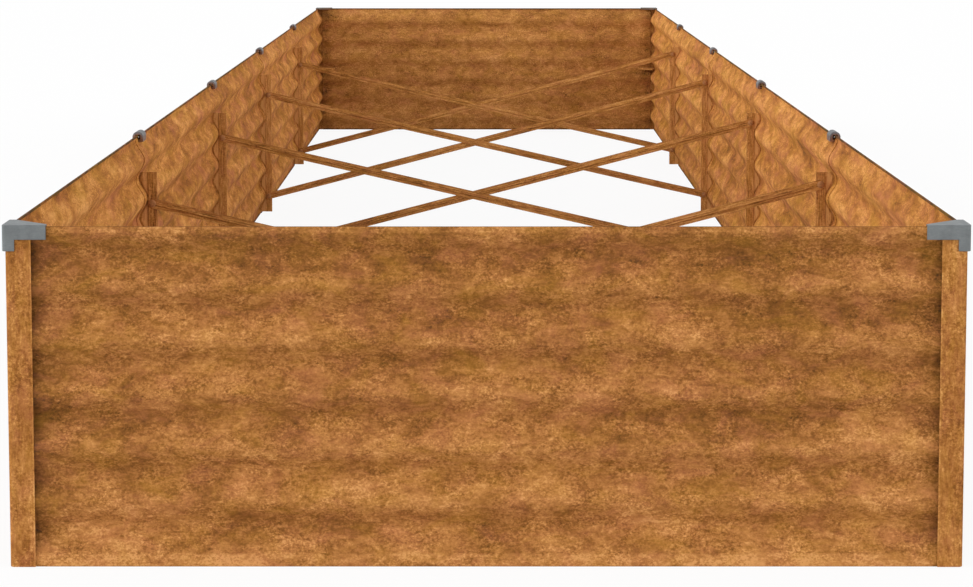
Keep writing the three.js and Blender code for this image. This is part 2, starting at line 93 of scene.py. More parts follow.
POST_SHEET, POST_FLANGE, POST_RADIUS = 0.9, 27.0, 5.0
GUSSET_HEIGHT = LOWEST_CREST + 3 * WAVE_PITCH
GUSSET_SHEET, GUSSET_LEG, GUSSET_LIP, GUSSET_LIP_INSET = 1.5, 60.0, 5.0, 9.0
GUSSET_LIP_ROOT = 0.4  # lip's top below the plate's upper face

CLIP_WALL, CLIP_RADIUS, CLIP_LENGTH, CLIP_SKIRT, CLIP_CROWN = 2.6, 5.0, 33.0, 9.5, 2.4
CLIP_THROAT = 3.5  # inner half width, which the thick feet and the filled crown leave

UPRIGHT_SHEET = 1.2
UPRIGHT_FOOT, UPRIGHT_TOP = 5.5, 307.0
UPRIGHT_HEM = 14.0
TAB_FACE = SIDE_CREST - LAP_SHIFT - WAVE_TRAVEL - SHEET - CLEARANCE
UPRIGHT_INNER_EDGE = TAB_FACE - UPRIGHT_HEM
BOLT_LINE = UPRIGHT_INNER_EDGE + UPRIGHT_HEM / 2
WEB_FRONT = -13.0
WEB_BACK = WEB_FRONT + UPRIGHT_SHEET
HEM_FRONT = WEB_FRONT - UPRIGHT_SHEET
TAB_HEIGHT, TAB_BACK = 18.0, 13.0
TAB_CRESTS = [LOWEST_CREST + (wave + 0.5) * WAVE_PITCH for wave in (0, 2, 4)]

BRACE_WIDTH, BRACE_SHEET, BRACE_RIB = 14.0, 1.5, 1.5
BRACE_BACK = HEM_FRONT - CLEARANCE
BRACE_FRONT = BRACE_BACK - BRACE_SHEET
BRACE_CRANK = BRACE_SHEET + BRACE_RIB + CLEARANCE
BRACE_END = 6.0
BRACE_RIB_START, BRACE_RIB_RUN_OUT = 21.0, 14.0  # from the brace's end
BRACE_CRANK_START, BRACE_CRANK_LENGTH = 45.0, 55.0
BRACE_RIB_HALF = 3.6

BOLT_RADIUS, THREAD_DEPTH, THREAD_PITCH = 2.5, 0.25, 0.4
NUT_ACROSS_FLATS, NUT_ACROSS_CORNERS, NUT_HEIGHT, NUT_CHAMFER = 8.0, 9.2, 4.0, 0.45
BOLT_HEIGHTS = {
    "left": {"upper": 262.0, "lower": 40.0},
    "right": {"upper": 289.0, "lower": 43.5},
}

# ------------------------------------------------------------------ meshes


def finish_mesh(name, mesh, slot, nodes, bevel=0.0, bevel_steps=2, bevel_angle=50, smooth_angle=35):
    """Puts a mesh in the scene as a piece on the body, standing for its CAD nodes. bevel is in
    millimetres, and edges sharper than the angles, in degrees, are rounded or left sharp."""
    build = bmesh.new()
    build.from_mesh(mesh)
    bmesh.ops.remove_doubles(build, verts=build.verts, dist=1e-7)
    loose = [v for v in build.verts if not v.link_faces]
    bmesh.ops.delete(build, geom=loose, context="VERTS")
    bmesh.ops.recalc_face_normals(build, faces=build.faces)
    build.to_mesh(mesh)
    build.free()
    piece = bpy.data.objects.new(name, mesh)
    bpy.context.scene.collection.objects.link(piece)
    if bevel:
        rounded = piece.modifiers.new("rounded edges", "BEVEL")
        rounded.width = bevel * MM
        rounded.segments = bevel_steps
        rounded.limit_method = "ANGLE"
        rounded.angle_limit = math.radians(bevel_angle)
        rounded.harden_normals = False
        rounded.use_clamp_overlap = True
    mesh.shade_smooth()
    mesh.set_sharp_from_angle(angle=math.radians(smooth_angle))
    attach(piece, "root")
    if nodes:
        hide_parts(*nodes)


def mesh_from(name, points, faces, tones=None):
    """A mesh from points in millimetres. tones is one number a point: + is paler, - darker."""
    mesh = bpy.data.meshes.new(name)
    mesh.from_pydata([tuple(MM * c for c in p) for p in points], [], faces)
    if tones is not None:
        tone = mesh.attributes.new("tone", "FLOAT", "POINT")
        tone.data.foreach_set("value", np.asarray(tones, np.float32))
    mesh.update()
    return mesh


def slab(front, back, present=None, tone=0.0, back_tone=None):
    """Points, faces and tones of a closed sheet between two grids of points.

    front and back are arrays of rows x columns x 3. present says which cells of the grid
    there are; an edge is closed wherever a cell has no neighbour.
    """
    rows, columns = front.shape[:2]
    if present is None:
        present = np.ones((rows - 1, columns - 1), bool)
    count = rows * columns

    def at(place, side):
        return side * count + place[0] * columns + place[1]

    faces = []
    for j in range(rows - 1):
        for k in range(columns - 1):
            if not present[j, k]:
                continue
            a, b, c, d = (j, k), (j, k + 1), (j + 1, k + 1), (j + 1, k)
            faces.append([at(p, 0) for p in (a, b, c, d)])
            faces.append([at(p, 1) for p in (d, c, b, a)])
            edges = (((-1, 0), a, b), ((0, 1), b, c), ((1, 0), c, d), ((0, -1), d, a))
            for (dj, dk), p, q in edges:
                jj, kk = j + dj, k + dk
                inside = 0 <= jj < rows - 1 and 0 <= kk < columns - 1
                if not (inside and present[jj, kk]):
                    faces.append([at(q, 0), at(p, 0), at(p, 1), at(q, 1)])
    points = np.concatenate([front.reshape(-1, 3), back.reshape(-1, 3)])
    sides = (tone, tone if back_tone is None else back_tone)
    tones = [np.broadcast_to(side, (rows, columns)).ravel() for side in sides]
    return points, faces, np.concatenate(tones)


def joined(*parts):
    """Several (points, faces, tones) as one."""
    points, faces, tones, start = [], [], [], 0
    for p, f, t in parts:
        points.append(np.asarray(p, float))
        faces += [[start + i for i in face] for face in f]
        tones.append(np.asarray(t, float))
        start += len(p)
    return np.concatenate(points), faces, np.concatenate(tones)


def offset(line, distance):
    """An open line of 2-D points moved sideways, to its left as it runs."""
    line = np.asarray(line, float)
    along = np.diff(line, axis=0)
    along /= np.linalg.norm(along, axis=1)[:, None]
    normals = np.stack([-along[:, 1], along[:, 0]], axis=1)
    before = np.concatenate([normals[:1], normals])
    after = np.concatenate([normals, normals[-1:]])
    mitre = before + after
    mitre /= np.linalg.norm(mitre, axis=1)[:, None]
    return line + mitre * (distance / (mitre * after).sum(axis=1))[:, None]


def arc(centre_x, centre_y, radius, start, end, steps):
    """Points on a circle from one angle to another, in degrees."""
    angles = np.radians(np.linspace(start, end, steps + 1))
    return [(centre_x + radius * math.cos(a), centre_y + radius * math.sin(a)) for a in angles]


def mirrored(part):
    """The left-hand twin of a right-hand part."""
    points, faces, tones = part
    return points * np.array([-1.0, 1.0, 1.0]), [list(reversed(f)) for f in faces], tones


def shifted(part, x=0.0, y=0.0, z=0.0):
    """A part moved along the axes."""
    points, faces, tones = part
    return points + np.array([x, y, z]), faces, tones


def turned(part, quarter_turns):
    """A part turned about +Z by quarter turns."""
    points, faces, tones = part
    turn = np.round(np.array(Matrix.Rotation(math.pi / 2 * quarter_turns, 3, "Z")))
    return points @ turn.T, faces, tones


def add(name, part, slot, nodes, **options):
    """Makes a piece of a part's points, faces and tones."""
    points, faces, tones = part
    finish_mesh(name, mesh_from(name, points, faces, tones), slot, nodes, **options)


def revolve(profile, steps, shape=None):
    """A body of revolution about Y from (radius, y) points. shape(angle) gives a limit on the
    radius, for a nut's flats, to the points that are marked for it."""
    rings = []
    for radius, y, *flat in profile:
        ring = []
        for step in range(steps):
            angle = 2 * math.pi * step / steps
            reach = min(radius, shape(angle)) if flat and shape else radius
            ring.append((reach * math.cos(angle), y, reach * math.sin(angle)))
        rings.append(ring)
    points = [p for ring in rings for p in ring]
    faces = []
    for j in range(len(rings) - 1):
        for k in range(steps):
            a, b = j * steps + k, j * steps + (k + 1) % steps
            faces.append([a, b, b + steps, a + steps])
    faces.append(list(range(steps)))
    faces.append([(len(rings) - 1) * steps + k for k in range(steps)])
    return np.array(points), faces, np.zeros(len(points))


# ------------------------------------------------------------------ corrugated panels

FINE_STEPS = 24  # flats in one wave
ROLL_TURN, ROLL_STEPS = 285, 18  # degrees of roll in a hem, and its flats
ROLL_SHADE_FROM, ROLL_SHADE_OVER, ROLL_SHADE_TONE = 50, 35, 2.0  # degrees of roll where the painted shade starts and over which it deepens, and how dark it gets
PANEL_STEPS = 24  # lengths that a panel is cut into along Y
EDGE_BAND = 2.0  # height of the pale band at the lowest and the highest crest
EDGE_TONE, FOOT_TONE = 0.5, 0.5


def inset(z):
    """Crest face to the sheet's outer face at a height, inward."""
    turn = 2 * math.pi * (z - LOWEST_CREST) / WAVE_PITCH
    return WAVE_TRAVEL / 2 * (1 - math.cos(turn)) if LOWEST_CREST < z < HIGHEST_CREST else 0.0


def slope(z):
    """The sheet's lean at a height, in radians."""
    turn = 2 * math.pi * (z - LOWEST_CREST) / WAVE_PITCH
    rate = math.pi * WAVE_TRAVEL / WAVE_PITCH * math.sin(turn)
    return math.atan(rate) if LOWEST_CREST < z < HIGHEST_CREST else 0.0


def panel_line():
    """Middle of the sheet from the bottom roll to the top roll: (x, z), x is 0 at the crests'
    outer face and negative inward. With it come where the waves start and end, and for every
    point how far it lies in a hollow and the tones of the outer and the inner face there. The
    tones hold painted shade on the rolls, a pale band at the lowest and the highest crest, and
    on the outer face a fall from paler at the top to darker at the bottom."""
    middle, radius = HEM_DIAMETER / 2, (HEM_DIAMETER - SHEET) / 2
    roll = arc(-middle, HEIGHT - middle, radius, 0, ROLL_TURN, ROLL_STEPS)
    angles = np.linspace(0, ROLL_TURN, len(roll))
    # painted shade on the roll, deepening from where it curls under
    dark = ROLL_SHADE_TONE * np.clip((angles - ROLL_SHADE_FROM) / ROLL_SHADE_OVER, 0, 1)
    start = [(x, HEIGHT - z) for x, z in reversed(roll)]
    heights = np.linspace(LOWEST_CREST, HIGHEST_CREST, WAVE_COUNT * FINE_STEPS + 1)
    wave = [(-SHEET / 2, NOTCH_HEIGHT)] + [(-SHEET / 2 - inset(z), z) for z in heights]
    line = start + wave + roll
    z = np.array([height for _, height in line])
    hollow = np.array([inset(height) / WAVE_TRAVEL - 0.5 for height in z])
    hollow[: len(start)] = hollow[-len(roll) :] = 0.0
    dark = np.concatenate([dark[::-1], np.zeros(len(wave)), dark])
    edge = (z < LOWEST_CREST + EDGE_BAND) | (z > HIGHEST_CREST - EDGE_BAND)
    outer = np.where(dark > 0, -dark, EDGE_TONE * edge) + FOOT_TONE * (0.5 - z / HEIGHT)
    return line, len(start), len(start) + len(wave) - 1, hollow, outer, -dark


# Painted shade and painted light on the waves: how much darker the outer face is painted in
# the waves' hollows, and the inner face behind the crests, and how much paler the inner face is
# painted where it looks down
SIDE_WAVE_SHADING, FRONT_WAVE_SHADING, BACK_WAVE_SHADING = (0.8, 0.25, 0.0), (0.25, 0.25, 0.0), (0.8, -0.1, 0.3)
PANEL_LINE, WAVE_START, WAVE_END, HOLLOW, OUTER_TONES, INNER_TONES = panel_line()
SLOPES = np.array([slope(z) for _, z in PANEL_LINE])
# Painted shade: the sheet is painted darker towards a corner post, with tones at these distances
# from its end
CORNER_STEPS, POST_SHADE_TONES = (13.0, 18.0, 26.0, 38.0), (-0.8, -0.45, -0.2, 0.0)


def panel(front, back, lapped_front, lapped_back, wave_shading):
    """A sheet whose waves face +X, from y = front to y = back. At a lapped end the rolls stop
    at the seam's middle. valleys is how strong the painted shade and painted light on the waves
    are, outside and inside."""
    outer, inner = offset(PANEL_LINE, -SHEET / 2), offset(PANEL_LINE, SHEET / 2)
    notch = LAP / 2 + CLEARANCE / 2
    places, gaps = [front], []
    if lapped_front:
        places.append(front + notch)
        gaps.append("wave")
    stop = back - notch if lapped_back else back
    inner_places = list(np.linspace(places[-1], stop, PANEL_STEPS + 1)[1:])
    inner_places += [front + step for step in CORNER_STEPS if not lapped_front]
    inner_places += [back - step for step in CORNER_STEPS if not lapped_back]
    gaps += ["all"] * len(inner_places)
    places += sorted(inner_places)
    if lapped_back:
        places.append(back)
        gaps.append("wave")
    columns = len(PANEL_LINE)
    present = np.ones((len(places) - 1, columns - 1), bool)
    for j, kind in enumerate(gaps):
        if kind == "wave":
            present[j, :WAVE_START] = False
            present[j, WAVE_END:] = False

    def grid(line):
        rows = [[(x, y, z) for x, z in line] for y in places]
        return np.array(rows)

    # painted shade towards each corner post that a sheet ends at
    corner = np.zeros(len(places))
    for end, lapped in ((front, lapped_front), (back, lapped_back)):
        if not lapped:
            corner += np.interp(np.abs(np.array(places) - end), CORNER_STEPS, POST_SHADE_TONES)
    # painted shade in the waves' hollows and towards the posts; on the inner face also painted
    # light where it looks down
    outer_tone = corner[:, None] + OUTER_TONES - wave_shading[0] * HOLLOW
    inner_tone = corner[:, None] + INNER_TONES + wave_shading[1] * HOLLOW + wave_shading[2] * SLOPES
    return slab(grid(outer), grid(inner), present, outer_tone, inner_tone)


for number in range(PANELS):
    y0 = -LENGTH / 2 + PANEL_SETBACK + number * SEAM_PITCH
    x0 = SIDE_CREST - (LAP_SHIFT if number % 2 else 0.0)
    flat = panel(y0, y0 + SEAM_PITCH + LAP, number > 0, number < PANELS - 1, SIDE_WAVE_SHADING)
    sheet = shifted(flat, x=x0)
    for side, part in (("right", sheet), ("left", mirrored(sheet))):
        node = f"{side}_panel_{number + 1}"
        add(f"{node}_sheet", part, "weathered_steel", [node], bevel=0.25, smooth_angle=30)

for node, turn, wave_shading in (("front_panel", -1, FRONT_WAVE_SHADING), ("back_panel", 1, BACK_WAVE_SHADING)):
    end_sheet = panel(-END_PANEL_HALF, END_PANEL_HALF, False, False, wave_shading)
    part = turned(shifted(end_sheet, x=END_CREST), turn)
    add(f"{node}_sheet", part, "weathered_steel", [node], bevel=0.25, smooth_angle=30)

# ------------------------------------------------------------------ corner posts and caps


def plate(outline, low, high):
    """A flat plate of a closed outline in X and Y."""
    count = len(outline)
    points = [(x, y, low) for x, y in outline] + [(x, y, high) for x, y in outline]
    faces = [list(range(count)), list(range(count, 2 * count))]
    for i in range(count):
        j = (i + 1) % count
        faces.append([i, j, count + j, count + i])
    return np.array(points), faces, np.zeros(2 * count)


POST_STRIP, POST_STRIP_FADE, POST_HIGHLIGHT_TONE = 1.2, 0.6, 0.4  # painted highlight: a pale strip at a flange's edge
GUSSET_TIP, GUSSET_TONE = 3.0, 0.5


def corner_post():
    """Drawn for the corner where the right side meets the back end: 0 is its outer corner."""
    half = POST_SHEET / 2
    strip = -POST_FLANGE + POST_STRIP
    flange = [-POST_FLANGE, strip, strip + POST_STRIP_FADE, -12.0]
    line = [(-half, y) for y in flange]
    line += arc(-POST_RADIUS, -POST_RADIUS, POST_RADIUS - half, 0, 90, 12)
    line += [(x, -half) for x in reversed(flange)]
    outer, inner = offset(line, -half), offset(line, half)
    heights = np.linspace(0, HEIGHT, 7)

    def grid(flat):
        return np.array([[(x, y, z) for x, y in flat] for z in heights])

    tone = np.zeros(len(line))
    # painted highlight along both flange edges
    tone[:2] = tone[-2:] = POST_HIGHLIGHT_TONE
    post = slab(grid(outer), grid(inner), tone=tone)

    wall = POST_SHEET + CLEARANCE + SHEET + 2 * CLEARANCE
    panel_end = WIDTH / 2 - END_PANEL_HALF
    root = POST_SHEET / 2
    tip, end, bevel = -GUSSET_LEG + GUSSET_TIP, -GUSSET_LEG + 0.5, -wall - GUSSET_TIP / 2
    leaf = [(-wall, -root), (-wall, tip), (bevel, end), (end, bevel), (tip, -wall)]
    leaf += [(-panel_end + CLEARANCE, -wall), (-panel_end + CLEARANCE, -root)]
    low, top = GUSSET_HEIGHT - GUSSET_SHEET / 2, GUSSET_HEIGHT + GUSSET_SHEET / 2
    edge = GUSSET_SHEET / math.sqrt(2)
    near, far = -wall - GUSSET_LIP_INSET, -GUSSET_LEG + GUSSET_LIP_INSET
    lip = [(near, far), (far, near), (far + edge, near + edge), (near + edge, far + edge)]
    lip_plate = plate(lip, top - GUSSET_LIP, top - GUSSET_LIP_ROOT)
    points, faces, tones = joined(plate(leaf, low, top), lip_plate)
    return joined(post, (points, faces, tones + GUSSET_TONE))


def at_corner(part, end, side):
    """A corner part drawn for the back right corner, moved to any corner."""
    points, faces, tones = part
    sx, sy = (1 if side == "right" else -1), (1 if end == "back" else -1)
    moved = (points + np.array([WIDTH / 2, LENGTH / 2, 0])) * np.array([sx, sy, 1])
    return moved, faces, tones


post_part = corner_post()
for end in ("front", "back"):
    for side in ("left", "right"):
        node = f"corner_post_{end}_{side}"
        part = at_corner(post_part, end, side)
        add(f"{node}_angle", part, "weathered_steel", [node], bevel=0.3, smooth_angle=30)

FACING = 0.7  # least part of a normal that makes a face look inward, or up


def dressed_copy(node, name, slot, bevel, steps, angle):
    """A piece with a CAD node's solid, its flat faces whole and its edges rounded. Its faces
    that look into the bed get a tone of -1 for painted shade, and its top a tone of 1, a paler
    top as painted light."""
    mesh = frame["nodes"][node].data.copy()
    mesh.materials.clear()
    build = bmesh.new()
    build.from_mesh(mesh)
    bmesh.ops.remove_doubles(build, verts=build.verts, dist=1e-6)
    bmesh.ops.dissolve_limit(
        build, angle_limit=math.radians(1), verts=build.verts, edges=build.edges
    )
    build.to_mesh(mesh)
    build.free()
    inward = -np.sign(np.array(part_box(node)).mean(axis=0)[:2])
    normals = np.array([face.normal for face in mesh.polygons])
    inner = (normals[:, :2] * inward).max(axis=1) > FACING
    # painted shade on the faces that look into the bed, painted light on the top
    tones = np.where(inner, -1.0, np.where(normals[:, 2] > FACING, 1.0, 0.0))
    tone = mesh.attributes.new("tone", "FLOAT", "FACE")
    tone.data.foreach_set("value", tones)
    finish_mesh(name, mesh, slot, [node], bevel, steps, angle, smooth_angle=40)


for end in ("front", "back"):
    for side in ("left", "right"):
        node = f"corner_cap_{end}_{side}"
        dressed_copy(node, f"{node}_moulding", "cap_plastic", 0.7, 3, 40)

# ------------------------------------------------------------------ rim clips

CLIP_STEPS = 24  # flats round the arch
CLIP_TOE, CLIP_BARB, CLIP_BARB_TOP = 0.9, 2.0, 3.6  # heights above the foot
CLIP_GREY = 0.42  # share of the wall, from outside, that rust leaves grey on the end faces


def rim_clip():
    """An inverted U with a barb inside each foot, closing on the lapped sheets. Rust from them
    stains its inner faces and its feet."""
    middle = -HEM_DIAMETER / 2 - LAP_SHIFT / 2
    outer = CLIP_RADIUS + CLIP_WALL
    foot, spring = HEIGHT - CLIP_SKIRT, HEIGHT + CLIP_CROWN - CLIP_RADIUS
    toe, barb, throat = foot + CLIP_TOE, foot + CLIP_BARB, foot + CLIP_BARB_TOP
    grip = -LAP_SHIFT - SHEET - inset(foot) - CLEARANCE
    far, near = middle - outer, middle + outer
    outside = [(grip - 0.4, foot), (far + 0.5, foot), (far, toe)]
    outside += reversed(arc(middle, spring, outer, 0, 180, CLIP_STEPS))
    outside += [(near, toe), (near - 0.5, foot), (CLEARANCE + 0.4, foot)]
    arch = arc(middle, spring, CLIP_THROAT, 0, 180, CLIP_STEPS)
    ceiling = HEIGHT + CLEARANCE + 0.1
    inside = [(grip, toe), (grip, barb), (middle - CLIP_THROAT, throat)]
    inside += [(x, min(z + 3, ceiling)) for x, z in reversed(arch)]
    inside += [(middle + CLIP_THROAT, throat), (CLEARANCE, barb), (CLEARANCE, toe)]
    outside, inside = np.array(outside), np.array(inside)
    between = outside + CLIP_GREY * (inside - outside)
    low = np.clip((HEIGHT - 0.5 - outside[:, 1]) / (CLIP_SKIRT - 2), 0, 1)  # 1 near the foot
    half = CLIP_LENGTH / 2
    stops = [-half, 0, half]
    end_stain, full_stain = -0.25 - 0.75 * low, -np.ones(len(inside))
    layers = [(outside, -low, y) for y in stops] + [(between, end_stain, half)]
    layers += [(inside, full_stain, y) for y in reversed(stops)] + [(between, end_stain, -half)]
    around, along = len(layers), len(outside)
    points = [(line[k][0], y, line[k][1]) for k in range(along) for line, _, y in layers]
    tones = [stain[k] for k in range(along) for _, stain, _ in layers]
    faces = [list(range(around)), [(along - 1) * around + i for i in range(around)]]
    for k in range(along - 1):
        for i in range(around):
            a, b = k * around + i, k * around + (i + 1) % around
            faces.append([a, b, b + around, a + around])
    return np.array(points), faces, np.array(tones)


# ------------------------------------------------------------------ uprights

NEST = SHEET / 2 + CLEARANCE
UPRIGHT_GAP = 0.05  # between the two sheets of the fold
UPRIGHT_ROWS = 132
# Places across the web, as shares of its width, and how pale it is there; the dark tone at its
# outer edge, where it meets the wall, is painted shade
WEB_SHARES = (0.25, 0.5, 0.75, 0.85, 0.9, 1.0)
WEB_TONES = (1.4, 1.4, 1.4, 0.8, -0.5, -0.5)
# Painted shade on the rounded fold and along the fold's free edge
FOLD_SHADE, FREE_EDGE_SHADE = -0.25, -0.7
TAB_RADIUS, TAB_CORNER = 1.6, 1.2


def nested_edge(z):
    """The upright's outer edge, which follows the inner face of the sheets."""
    return SIDE_CREST - LAP_SHIFT - SHEET / 2 - inset(z) - NEST / math.cos(slope(z))


def upright():
    """Web with a wavy outer edge, its inner edge folded forward on itself, and tabs turned
    back along the wall."""
    thick = UPRIGHT_SHEET - UPRIGHT_GAP
    fold = thick / 2 + UPRIGHT_GAP
    free = WEB_FRONT - fold
    web = WEB_FRONT + fold
    start = UPRIGHT_INNER_EDGE + fold + thick / 2
    line = [(TAB_FACE, free), (TAB_FACE - 1, free), (TAB_FACE - 5, free)]
    line += arc(start, WEB_FRONT, fold, 270, 90, 10)
    front, back = [], []
    for z in np.linspace(UPRIGHT_FOOT, UPRIGHT_TOP, UPRIGHT_ROWS):
        edge = nested_edge(z)
        row = line + [(start + share * (edge - start), web) for share in WEB_SHARES]
        front.append([(x, y, z) for x, y in offset(row, thick / 2)])
        back.append([(x, y, z) for x, y in offset(row, -thick / 2)])
    tone = np.array([0.0] * len(line) + list(WEB_TONES))
    # painted shade at the free edge and round the fold
    tone[0] = FREE_EDGE_SHADE
    tone[2:13] = FOLD_SHADE
    parts = [slab(np.array(front), np.array(back), tone=tone)]

    reach = TAB_FACE - thick / 2
    path = [(reach - 2 * TAB_RADIUS, web)]
    path += arc(reach - TAB_RADIUS, web + TAB_RADIUS, TAB_RADIUS, 270, 360, 6)
    path += [(reach, y) for y in (-6.0, 0.0, 6.0, 10.0, TAB_BACK - TAB_CORNER, TAB_BACK)]
    for height in TAB_CRESTS:
        rows_out, rows_in = [], []
        for z in (-1, -0.86, -0.4, 0, 0.4, 0.86, 1):
            out, into = offset(path, -thick / 2 + 0.03), offset(path, thick / 2 - 0.03)
            level = height + z * TAB_HEIGHT / 2
            trim = TAB_CORNER if abs(z) == 1 else 0.0
            rows_out.append([(x, min(y, TAB_BACK - trim), level) for x, y in out])
            rows_in.append([(x, min(y, TAB_BACK - trim), level) for x, y in into])
        parts.append(slab(np.array(rows_out), np.array(rows_in)))
    return joined(*parts)


# ------------------------------------------------------------------ braces

# Painted shade along a brace's edges and either side of its rib
BRACE_EDGE_SHADE, RIB_FOOT_SHADE = -1.5, -0.9


def eased(x):
    """A smooth step from 0 to 1."""
    x = min(max(x, 0.0), 1.0)
    return x * x * (3 - 2 * x)


def brace(from_x, from_z, to_x, to_z, cranked, marks):
    """A strip with rounded ends and a pressed rib; the cranked one passes in front. marks is
    how dark the painted shade along its edges and at the foot of its rib is."""
    start, end = np.array([from_x, 0.0, from_z]), np.array([to_x, 0.0, to_z])
    along = (end - start) / np.linalg.norm(end - start)
    forward = np.array([0.0, -1.0, 0.0])
    across = np.cross(forward, along)
    half = BRACE_WIDTH / 2
    length = np.linalg.norm(end - start) + 2 * BRACE_END
    origin = start - along * BRACE_END + np.array([0.0, BRACE_BACK, 0.0])
    near = [0.15, 0.5, 1.1, 2, 3, 4.2, 5.5, 7, 14, 20]
    near += list(np.linspace(22, 36, 8)) + list(np.linspace(42, 104, 14))
    places = near + list(np.linspace(104, length - 104, 20))[1:-1]
    places += [length - place for place in reversed(near)]
    widths = [-1, -0.965, -0.8, -0.62, -0.52, -0.44, -0.36, -0.28, -0.2, -0.1, 0]
    widths += [-w for w in reversed(widths[:-1])]
    front, back = [], []
    for place in places:
        tip = min(place, length - place)
        reach = half * math.sqrt(1 - (1 - tip / half) ** 2) if tip < half else half
        rib = BRACE_RIB * eased((tip - BRACE_RIB_START) / BRACE_RIB_RUN_OUT)
        lift = 0.0
        if cranked:
            lift = BRACE_CRANK * eased((tip - BRACE_CRANK_START) / BRACE_CRANK_LENGTH)
        rows = ([], [])
        for share in widths:
            side = share * reach
            bump = rib * 0.5 * (1 + math.cos(math.pi * min(abs(side) / BRACE_RIB_HALF, 1)))
            for depth, row in ((BRACE_SHEET, rows[0]), (0.0, rows[1])):
                point = origin + along * place + across * side
                row.append(point + forward * (depth + bump + lift))
        front.append(rows[0])
        back.append(rows[1])
    tone = np.zeros(len(widths))
    # painted shade along both edges
    tone[0] = tone[-1] = BRACE_EDGE_SHADE
    tone[7:9] = tone[12:14] = RIB_FOOT_SHADE  # painted shade either side of the rib
    return slab(np.array(front), np.array(back), tone=marks * tone)


# ------------------------------------------------------------------ bolts

DOME_STEPS, HEAD_RIM, HEAD_CHAMFER = 8, 0.5, 0.15


def hexagon(across_flats):
    """The limit that a nut's flats put on the radius, by angle."""

    def reach(angle):
        turn = (angle + math.pi / 6) % (math.pi / 3) - math.pi / 6
        return across_flats / 2 / math.cos(turn)

    return reach


def bolt(head_seat, head_radius, head_height, shank_end, nut_seat):
    """A domed bolt along Y with its nut. The head is at -Y and the thread ends at +Y."""
    dome = []
    for step in range(DOME_STEPS + 1):
        angle = step / DOME_STEPS * math.pi / 2
        radius = max(head_radius * math.sin(angle), 0.05)
        dome.append((radius, head_seat - HEAD_RIM - (head_height - HEAD_RIM) * math.cos(angle)))
    dome += [(head_radius, head_seat - HEAD_CHAMFER), (head_radius - HEAD_CHAMFER, head_seat)]
    top = nut_seat + NUT_HEIGHT
    thread = [(BOLT_RADIUS, head_seat), (BOLT_RADIUS, nut_seat)]
    for turn in range(int((shank_end - top - 0.6) / THREAD_PITCH)):
        y = top + THREAD_PITCH * turn
        thread += [(BOLT_RADIUS, y), (BOLT_RADIUS - THREAD_DEPTH, y + THREAD_PITCH / 2)]
    thread += [(BOLT_RADIUS, shank_end - 0.5), (BOLT_RADIUS - 0.4, shank_end)]
    corner = NUT_ACROSS_CORNERS / 2
    nut = [
        (BOLT_RADIUS - 0.1, nut_seat),
        (corner - NUT_CHAMFER, nut_seat),
        (corner, nut_seat + NUT_CHAMFER, "flat"),
        (corner, top - NUT_CHAMFER, "flat"),
        (corner - NUT_CHAMFER, top),
        (BOLT_RADIUS + 0.5, top),
        (BOLT_RADIUS + 0.1, top - 0.4),
    ]
    return joined(revolve(dome + thread, 32), revolve(nut, 48, hexagon(NUT_ACROSS_FLATS)))


BRACE_BOLT = bolt(BRACE_FRONT - 0.02, 5.25, 2.4, WEB_BACK + CLEARANCE + 5.6, WEB_BACK + 0.02)
VALLEY = SIDE_CREST - WAVE_TRAVEL
TAB_INSIDE = TAB_FACE - UPRIGHT_SHEET
WALL_BOLT = bolt(-(VALLEY + 0.7), 4.75, 2.6, -TAB_INSIDE + 5.4, -TAB_INSIDE)

# ------------------------------------------------------------------ what each seam carries

clip_part, upright_part = rim_clip(), upright()
# From the front seam to the back one, uprights are painted paler as painted light, and the braces'
# painted shade grows fainter
UPRIGHT_LIGHTENING = (0.0, 0.3, 0.5, 0.5)
BRACE_SHADE_MARKS = (1.0, 0.8, 0.5, 0.3)
BRACE_HEIGHTS = {
    "rear": (BOLT_HEIGHTS["left"]["lower"], BOLT_HEIGHTS["right"]["upper"]),
    "front": (BOLT_HEIGHTS["left"]["upper"], BOLT_HEIGHTS["right"]["lower"]),
}
for seam in range(1, PANELS):
    y0 = (seam - PANELS / 2) * SEAM_PITCH
    points, faces, tones = upright_part
    # painted light: uprights further back are painted paler
    lightened = (points, faces, tones + UPRIGHT_LIGHTENING[seam - 1])
    for side in ("left", "right"):
        flip = mirrored if side == "left" else (lambda part: part)
        node = f"upright_{side}_{seam}"
        part = flip(shifted(lightened, y=y0))
        add(f"{node}_strip", part, "weathered_frame", [node], bevel=0.2, smooth_angle=35)
        node = f"rim_clip_{side}_{seam}"
        part = flip(shifted(clip_part, x=SIDE_CREST, y=y0))
        add(f"{node}_moulding", part, "cap_plastic", [node], bevel=0.6, bevel_steps=3)
        for level, z in BOLT_HEIGHTS[side].items():
            node = f"brace_bolt_{side}_{seam}_{level}"
            part = flip(shifted(BRACE_BOLT, x=BOLT_LINE, y=y0, z=z))
            add(f"{node}_domed", part, "bolts", [node])
        for number, z in enumerate(TAB_CRESTS):
            part = flip(shifted(turned(WALL_BOLT, 1), y=y0, z=z))
            add(f"wall_bolt_{side}_{seam}_{number + 1}", part, "bolts", [])
    for kind, (left_z, right_z) in BRACE_HEIGHTS.items():
        node = f"brace_{kind}_{seam}"
        marks = BRACE_SHADE_MARKS[seam - 1]
        strip = brace(-BOLT_LINE, left_z, BOLT_LINE, right_z, kind == "front", marks)
        part = shifted(strip, y=y0)
        add(f"{node}_strip", part, "weathered_frame", [node], bevel=0.3, smooth_angle=40)

# ------------------------------------------------------------------ materials


def linear(red, green, blue):
    """A colour written as it looks, 0 to 255, as scene-linear values."""
    values = []
    for channel in (red, green, blue):
        c = channel / 255
        values.append(c / 12.92 if c <= 0.04045 else ((c + 0.055) / 1.055) ** 2.4)
    return (*values, 1.0)


